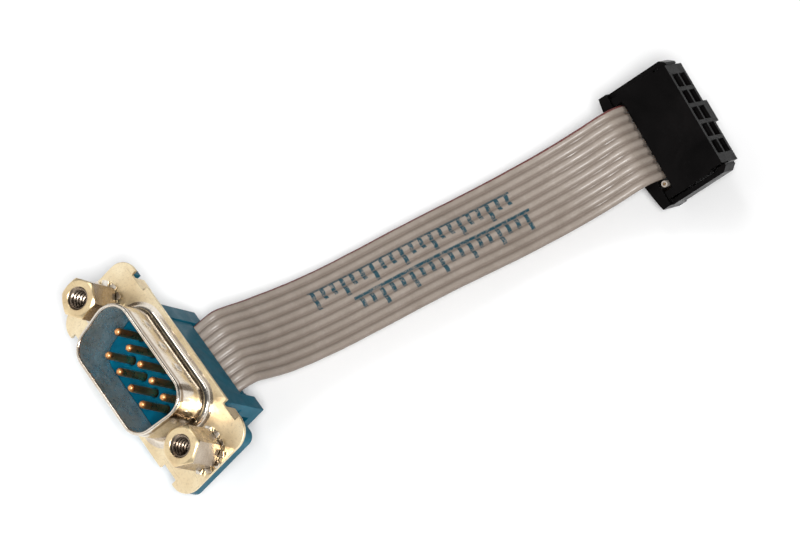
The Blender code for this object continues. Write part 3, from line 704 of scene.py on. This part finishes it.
def make_shroud():
    """The drawn D-shaped wall: its foot flares into the flange and its lip is rounded over."""
    flare = 0.72 * MM
    lip = STEEL / 2
    top = SHROUD_HEIGHT
    profile = [(STEEL + flare + 0.35 * MM, -0.3 * MM), (STEEL + flare + 0.3 * MM, 0.012 * MM)]
    profile += [(STEEL + flare + 0.12 * MM, 0.02 * MM)]
    for i in range(11):
        turn = i / 10 * pi / 2
        profile.append((STEEL + flare * (1 - sin(turn)), 0.02 * MM + flare * (1 - cos(turn))))
    steps = 26
    first = profile[-1][1]
    for i in range(1, steps + 1):
        profile.append((STEEL, first + (top - lip - first) * i / steps))
    for i in range(1, 6):
        turn = i / 5 * pi / 2
        profile.append((STEEL - lip * (1 - cos(turn)), top - lip + lip * sin(turn)))
    for i in range(0, 6):
        turn = i / 5 * pi / 2
        profile.append((lip * (1 - sin(turn)), top - lip + lip * cos(turn)))
    for i in range(1, steps + 1):
        profile.append((0.0, top - lip - (top - lip + 0.52 * MM) * i / steps))
    loops = []
    for grow, z in profile:
        loop = []
        for x, y in d_outline(grow):
            if y > HALF_OPENING[1] - 0.05 * MM and z > 1.5 * MM:
                y -= dent(x, z)
            loop.append((x, y, z))
        loops.append(loop)
    loops.append([(x, y, -0.52 * MM) for x, y in d_outline(STEEL * 0.7)])
    work = bmesh.new()
    rings = add_loft(work, loops, cap=False)
    count = len(rings[0])
    for i in range(count):
        k = (i + 1) % count
        work.faces.new((rings[-1][i], rings[-1][k], rings[0][k], rings[0][i]))
    mesh = closed(work, "shroud")
    for material in (DRAWN, INNER):
        mesh.materials.append(material)
    for face in mesh.polygons:
        if face.normal.dot(Vector((face.center.x, face.center.y, 0))) < 0 and face.center.z < top - lip:
            face.material_index = 1
    shroud = placed("shroud", mesh, DRAWN, PLUG, sharp=60)
    return own(shroud)


def make_tabs():
    """The four tabs of the steel shell that fold back through its notches and grip the plastic flange."""
    floor_y = NOTCH_FLOOR
    back = INSULATOR_BACK - 0.1 * MM - STEEL
    hook = 1.3 * MM
    shape = [(floor_y - STEEL, 0.0)]
    shape += [(floor_y - STEEL + STEEL * sin(a), -STEEL + STEEL * cos(a)) for a in (0.4, 0.8, 1.2, 1.571)]
    shape += [
        (floor_y, back + 0.25 * MM),
        (floor_y - 0.25 * MM, back),
        (floor_y - hook, back),
        (floor_y - hook, back + STEEL),
        (floor_y - STEEL, back + STEEL),
    ]
    groups = []
    for side_x in (-1, 1):
        for side_y in (-1, 1):
            middle = (NOTCH_INNER + NOTCH_OUTER) / 2
            ends = (middle - TAB_WIDTH / 2, middle + TAB_WIDTH / 2)
            groups.append([[(side_x * x, side_y * y, z) for y, z in shape] for x in ends])
    tabs = placed("crimp_tabs", lofts("tabs", groups), SHELL, PLUG, soft=0.06 * MM)
    return own(tabs)


def pin_places():
    """Two staggered rows: five pins on the wide side and four on the narrow one."""
    return [((i - 4) * PIN_STEP, PIN_ROW if i % 2 == 0 else -PIN_ROW) for i in range(9)]


def make_insulator():
    outline = flange_outline(30.4 * MM, 11.25 * MM, 1.2 * MM, notch_margin=0.12 * MM)
    slab = loft("slab", prism_loops(outline, INSULATOR_BACK, -STEEL - 0.04 * MM))
    holes = [prism_loops(ring, -5 * MM, MM) for ring in jack_circles(2.1 * MM)]
    holes.append(prism_loops(d_outline(0.05 * MM, wide_points=2), -1.7 * MM, MM))
    slab = carved(slab, cuts=[lofts("holes", holes)])
    flange = placed("plastic_flange", slab, BLUE, PLUG, soft=0.22 * MM, segments=3)
    own(flange, ["front_insulator"])
    inner = loft("floor", prism_loops(d_outline(-0.03 * MM, wide_points=2), -1.6 * MM, -0.55 * MM))
    well = [(0.6 * MM, -1.2 * MM), (0.6 * MM, -0.72 * MM), (0.82 * MM, -0.5 * MM), (0.82 * MM, 0.5 * MM)]
    wells = [[level(circle(radius, 24, place), z) for radius, z in well] for place in pin_places()]
    inner = carved(inner, cuts=[lofts("wells", wells)])
    face = placed("pin_face", inner, FLOOR_BLUE, PLUG, soft=0.04 * MM)
    own(face)


def sideways(mesh):
    """Turned so that an outline drawn in X and Y stands in X and Z."""
    mesh.transform(Matrix.Rotation(pi / 2, 4, "X"))
    return mesh


def make_housing():
    front = INSULATOR_BACK - 0.05 * MM
    right = [(BODY_HALF, front), (BODY_HALF, EAR_BACK), (EAR_INNER, EAR_BACK), (EAR_INNER, BODY_BACK)]
    outline = right + [(-x, z) for x, z in reversed(right)]
    block = sideways(loft("block", prism_loops(outline, -BODY_TOP, -BODY_BOTTOM)))
    panel = rectangle(-EAR_INNER, EAR_INNER, BODY_TOP - 0.22 * MM, BODY_TOP + MM)
    cuts = [prism_loops(panel, BODY_BACK - 2 * MM, front - 0.9 * MM)]
    under = rectangle(-EAR_INNER, EAR_INNER, BODY_BOTTOM - MM, BODY_BOTTOM + 0.22 * MM)
    cuts.append(prism_loops(under, BODY_BACK - 2 * MM, front - 0.9 * MM))
    for side_x in (-1, 1):
        for y in (2.8 * MM, -2.8 * MM):
            left, right_x = sorted((side_x * (BODY_HALF - 0.8 * MM), side_x * (BODY_HALF + MM)))
            window = rectangle(left, right_x, y - 0.4 * MM, y + 0.4 * MM)
            cuts.append(prism_loops(window, -9.8 * MM, -8.4 * MM))
        left, right_x = sorted((side_x * (BODY_HALF - 0.12 * MM), side_x * (BODY_HALF + MM)))
        rail = rectangle(left, right_x, -4.2 * MM, 4.2 * MM)
        cuts.append(prism_loops(rail, -6.9 * MM, front - 1.6 * MM))
    block = carved(block, cuts=[lofts("housing_cuts", cuts)])
    housing = placed("housing", block, BLUE, PLUG, soft=0.16 * MM, segments=3)
    own(housing, ["rear_body"])


def make_cover():
    """The strain-relief cover between the housing's ears, grooved for the nine conductors."""
    half = EAR_INNER - 0.12 * MM
    low, high = BODY_BOTTOM + 0.25 * MM, BODY_TOP - 0.7 * MM
    front, back = BODY_BACK - 1.5 * MM, EAR_BACK + 0.15 * MM
    slab = loft("cover", prism_loops(rectangle(-half, half, low, high), back, front))
    panel = rectangle(-half + 1.2 * MM, half - 1.2 * MM, -MM, MM)
    grooves = [prism_loops(panel, back - MM, back + 0.35 * MM)]
    for i in range(WIRES):
        x = (i - (WIRES - 1) / 2) * RIBBON_PITCH + PLUG_OFFSET
        slot = rectangle(x - 0.32 * MM, x + 0.32 * MM, high - 0.9 * MM, high + MM)
        grooves.append(prism_loops(slot, back - MM, back + 0.25 * MM))
    slab = carved(slab, cuts=[lofts("cover_cuts", grooves)])
    cover = placed("housing_cover", slab, BLUE, PLUG, soft=0.1 * MM)
    own(cover, ["rear_cover"])


def make_pins():
    radius, tip = 0.5 * MM, 4.85 * MM
    profile = [(0.1 * MM, -1.3 * MM), (radius, -1.3 * MM), (radius, tip - 0.62 * MM)]
    for i in range(1, 9):
        turn = i / 8 * pi / 2
        profile.append((radius * cos(turn) ** 0.8 + 0.01 * MM, tip - 0.62 * MM + 0.62 * MM * sin(turn)))
    for i, (x, y) in enumerate(pin_places()):
        where = PLUG @ Matrix.Translation((x, y, 0))
        pin = turned(f"pin_{i + 1}", profile, 28, GOLD, where)
        own(pin, [f"plug_contact_{i + 1}"])


def make_jackscrew(side, x):
    """A hexagonal standoff with a threaded bore in its head and a threaded stud under it."""
    flats, front, foot = 4.75 * MM, 5.55 * MM, 0.64 * MM
    bore, deep, floor_z = 1.18 * MM, 0.24 * MM, 0.95 * MM
    corner = flats / 2 / cos(pi / 6)

    def radius_at(radius, z, angle):
        if radius > 2.0 * MM:
            nearest = (angle + pi / 6) % (pi / 3) - pi / 6
            return min(radius, flats / 2 / cos(pi / 6 - abs(nearest)))
        if radius < 1.0 * MM or radius > 1.3 * MM or foot <= z < floor_z:
            return radius
        turns = (z / THREAD_PITCH - angle / (2 * pi)) % 1.0
        groove = max(0.0, 1 - abs(turns - 0.5) * 3.2)
        if z < foot:
            return radius - deep * groove * min(1.0, max(0.0, (foot - 0.2 * MM - z) / (0.3 * MM)))
        fade = min(1.0, max(0.0, (front - 0.25 * MM - z) / (0.2 * MM)))
        return radius + deep * groove * fade

    stud_end, stud_rings = -4.0 * MM, 72
    profile = [(0.99 * MM, -4.3 * MM)]
    profile += [(1.3 * MM, stud_end + (foot - stud_end) * i / stud_rings) for i in range(stud_rings + 1)]
    widest = corner + 0.01 * MM
    profile += [(corner * 0.96, foot), (widest, foot + 0.12 * MM)]
    for i in range(1, 9):
        profile.append((widest, foot + 0.12 * MM + (front - 0.5 * MM - foot) * i / 8))
    for i in range(1, 9):
        share = i / 8
        profile.append((widest - 0.45 * MM * share**1.2, front - 0.38 * MM + 0.33 * MM * share))
    profile += [(2.24 * MM, front - 0.012 * MM), (2.17 * MM, front)]
    profile += [(1.56 * MM, front), (1.48 * MM, front - 0.05 * MM), (1.31 * MM, front - 0.3 * MM)]
    rings = 84
    for i in range(rings + 1):
        profile.append((bore, front - 0.32 * MM - (front - 0.32 * MM - floor_z) * i / rings))
    profile.append((0.2 * MM, floor_z - 0.3 * MM))
    where = PLUG @ Matrix.Translation((x, 0, 0)) @ Matrix.Rotation(JACK_TURN[side], 4, "Z")
    screw = turned(f"jack_{side}", profile, 72, SCREW, where, radius_at, sharp=26)
    screw.data.materials.append(BORE_SHADE)
    screw.data.materials.append(SHADED_FLATS)
    inward = where.inverted()
    for face in screw.data.polygons:
        local = inward @ face.center
        # Painted shade: the bore and its countersink take the dark plating.
        if hypot(local.x, local.y) < 1.5 * MM and local.z > foot:
            face.material_index = 1
        # Painted shade: the hex's sides take the darker copy of the plating.
        elif foot < local.z < front - 0.36 * MM and hypot(local.x, local.y) > 2.2 * MM:
            face.material_index = 2
    own(screw, [f"jackscrew_{side}"], body=f"screw_{side}")


def make_washer(side, x):
    """External-tooth lock washer: a flat ring whose twelve teeth are twisted one edge up, one edge down."""
    inner, body, tip = 1.5 * MM, 2.4 * MM, 3.02 * MM
    middle, half = 0.32 * MM, 0.13 * MM
    teeth = 12
    work = bmesh.new()
    columns = []
    per_tooth = 8
    for i in range(teeth * per_tooth):
        angle = 2 * pi * i / (teeth * per_tooth)
        phase = (i % per_tooth) / per_tooth
        on_tooth = phase < 0.56
        reach = tip if on_tooth else body
        twist = (phase / 0.5 - 0.5) * 0.22 * MM if on_tooth else 0.0
        column = []
        for radius, lift, z in (
            (inner, 0, -half),
            (body, 0, -half),
            (reach, twist, -half * 0.8),
            (reach, twist, half * 0.8),
            (body, 0, half),
            (inner, 0, half),
        ):
            column.append(work.verts.new((radius * cos(angle), radius * sin(angle), middle + lift + z)))
        columns.append(column)
    for here, then in zip(columns, columns[1:] + columns[:1]):
        for k in range(6):
            after = (k + 1) % 6
            work.faces.new((here[k], then[k], then[after], here[after]))
    bmesh.ops.remove_doubles(work, verts=work.verts, dist=1e-7)
    where = PLUG @ Matrix.Translation((x, 0, 0)) @ Matrix.Rotation(JACK_TURN[side], 4, "Z")
    washer = placed(f"washer_{side}", closed(work, "washer"), WASHER, where, sharp=30)
    own(washer, [f"lock_washer_{side}"], body=f"washer_{side}")


# ---------------------------------------------------------------- header socket


def block_between(x_low, x_high, y_low, y_high, z_low, z_high):
    return [level(rectangle(x_low, x_high, y_low, y_high), z) for z in (z_low, z_high)]


def make_socket_shell():
    """The socket's body: ten square mouths, the polarising key, and a post at each end of the ribbon slot."""
    half, front, ledge = 7.75 * MM, 0.75 * MM, 0.3 * MM
    right = [(half, front), (half, 6.6 * MM), (half - ledge, 6.6 * MM), (half - ledge, MATING_FACE)]
    outline = right + [(-x, y) for x, y in reversed(right)]
    block = loft("block", prism_loops(outline, -THICKNESS, 0))
    foot, root = -THICKNESS - 1.3 * MM, -THICKNESS + 0.3 * MM
    key = block_between(-1.6 * MM, 1.6 * MM, MATING_FACE - 5.6 * MM, MATING_FACE, foot, root)
    posts = []
    for side in (-1, 1):
        ends = sorted((side * (half - 0.05 * MM), side * (half - 1.15 * MM)))
        posts.append(block_between(*ends, -0.7 * MM, front + 0.1 * MM, root, -0.3 * MM))
    near, far = 0.8 * MM, 1.02 * MM
    mouth = [(3.6 * MM, near), (MATING_FACE - 0.3 * MM, near)]
    mouth += [(MATING_FACE + 0.02 * MM, far), (MATING_FACE + MM, far)]
    corners = ((-1, -1), (1, -1), (1, 1), (-1, 1))
    wells = []
    for column in range(COLUMNS):
        x = (column - (COLUMNS - 1) / 2) * GRID
        for z in (-THICKNESS / 2 + GRID / 2, -THICKNESS / 2 - GRID / 2):
            wells.append([[(x + a * reach, y, z + b * reach) for a, b in corners] for y, reach in mouth])
    block = carved(block, cuts=[lofts("wells", wells)], joins=[loft("key", key), lofts("posts", posts)])
    body = placed("socket_shell", block, BLACK, SOCKET, soft=0.13 * MM, segments=3)
    return own(body, ["socket_body"])


def make_socket_cap():
    """The cover pressed over the ribbon: a crowned bar with a latch arm at each end."""
    half, inner, end = 8.55 * MM, -0.75 * MM, -2.0 * MM
    crown = [(half, inner), (-half, inner), (-half, end)]
    for i in range(1, 16):
        x = -half + 2 * half * i / 16
        crown.append((x, -2.9 * MM + 0.9 * MM * (x / half) ** 2))
    crown.append((half, end))
    cap = loft("cap", prism_loops(crown, -THICKNESS, 0))
    arm_half, inside, barb, tip = 1.725 * MM, 7.9 * MM, 7.6 * MM, 8.3 * MM
    low, high = -THICKNESS / 2 - arm_half, -THICKNESS / 2 + arm_half
    arm = [
        (inside, inner - 0.5 * MM),
        (half, inner - 0.5 * MM),
        (half, 7.55 * MM),
        (half - 0.6 * MM, tip),
        (barb, tip),
        (barb, 7.0 * MM),
        (inside, 6.8 * MM),
    ]
    arms = [[[(side * x, y, z) for x, y in arm] for z in (low, high)] for side in (-1, 1)]
    grooves = []
    for i in range(2 * COLUMNS):
        x = (i - 4.5) * RIBBON_PITCH
        grooves.append(prism_loops(circle(0.5 * MM, 20, (x, -0.35 * MM)), -1.2 * MM, 0.3 * MM))
    cap = carved(cap, cuts=[lofts("grooves", grooves)], joins=[lofts("arms", arms)])
    cover = placed("socket_cap", cap, BLACK, SOCKET, soft=0.13 * MM, segments=3)
    # The bevels take the paler material: a painted highlight along the cap's edges.
    cover.data.materials.append(EDGE_HIGHLIGHT_BLACK)
    cover.modifiers["soft_edges"].material = 1
    return own(cover, ["socket_cover"])


# ---------------------------------------------------------------- the whole cable

ribbon, centreline = make_ribbon()
stub = make_stub()
make_flange()
make_shroud()
make_tabs()
make_insulator()
make_housing()
make_cover()
make_pins()
for side, x in (("left", -JACK_X), ("right", JACK_X)):
    make_jackscrew(side, x)
    make_washer(side, x)
    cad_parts[f"threaded_insert_{side}"].material_slots[0].material = INSERT
socket_pieces = [make_socket_shell(), make_socket_cap()]
contacts = [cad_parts[f"socket_contact_{i}"] for i in range(1, 11)]
for contact in contacts:
    contact.material_slots[0].material = GOLD


# ---------------------------------------------------------------- studio


def area_light(name, place, target, size, power):
    data = bpy.data.lights.new(name, "AREA")
    data.shape = "RECTANGLE"
    data.size, data.size_y = size
    data.energy = power
    light = bpy.data.objects.new(name, data)
    bpy.context.collection.objects.link(light)
    light.location = place
    light.rotation_euler = (Vector(place) - Vector(target)).to_track_quat("Z", "Y").to_euler()


MIDDLE, PLUG_MIDDLE = (0, 0.035, 0), (0, 0, 0.012)
area_light("key", (0.3, -0.16, 0.52), MIDDLE, (0.14, 0.14), 3.9)
area_light("left_card", (-0.36, -0.61, 0.42), PLUG_MIDDLE, (1.2, 1.0), 2.7)
area_light("top_strip", (-0.27, 0.02, 0.55), MIDDLE, (0.12, 0.26), 0.5)


def studio_surround():
    """A dim room: paler on the near side, nearly black behind the object, so that the metal has contrast."""
    world = bpy.data.worlds.new("studio")
    bpy.context.scene.world = world
    world.use_nodes = True
    tree = world.node_tree
    place = tree.nodes.new("ShaderNodeTexCoord")
    split = tree.nodes.new("ShaderNodeSeparateXYZ")
    tree.links.new(place.outputs["Generated"], split.inputs["Vector"])
    grade = tree.nodes.new("ShaderNodeMapRange")
    grade.interpolation_type = "SMOOTHSTEP"
    tree.links.new(split.outputs["Y"], grade.inputs["Value"])
    for key, value in (("From Min", -0.5), ("From Max", 0.5), ("To Min", 0.36), ("To Max", 0.08)):
        grade.inputs[key].default_value = value
    tree.links.new(grade.outputs["Result"], tree.nodes["Background"].inputs["Strength"])
    tree.nodes["Background"].inputs["Color"].default_value = (1, 1, 1, 1)


studio_surround()

work = bmesh.new()
bmesh.ops.create_grid(work, x_segments=4, y_segments=4, size=3.0)
floor_plane = placed("studio_floor", closed(work, "studio_floor"), studio_floor())
bpy.context.scene.view_settings.view_transform = "Standard"
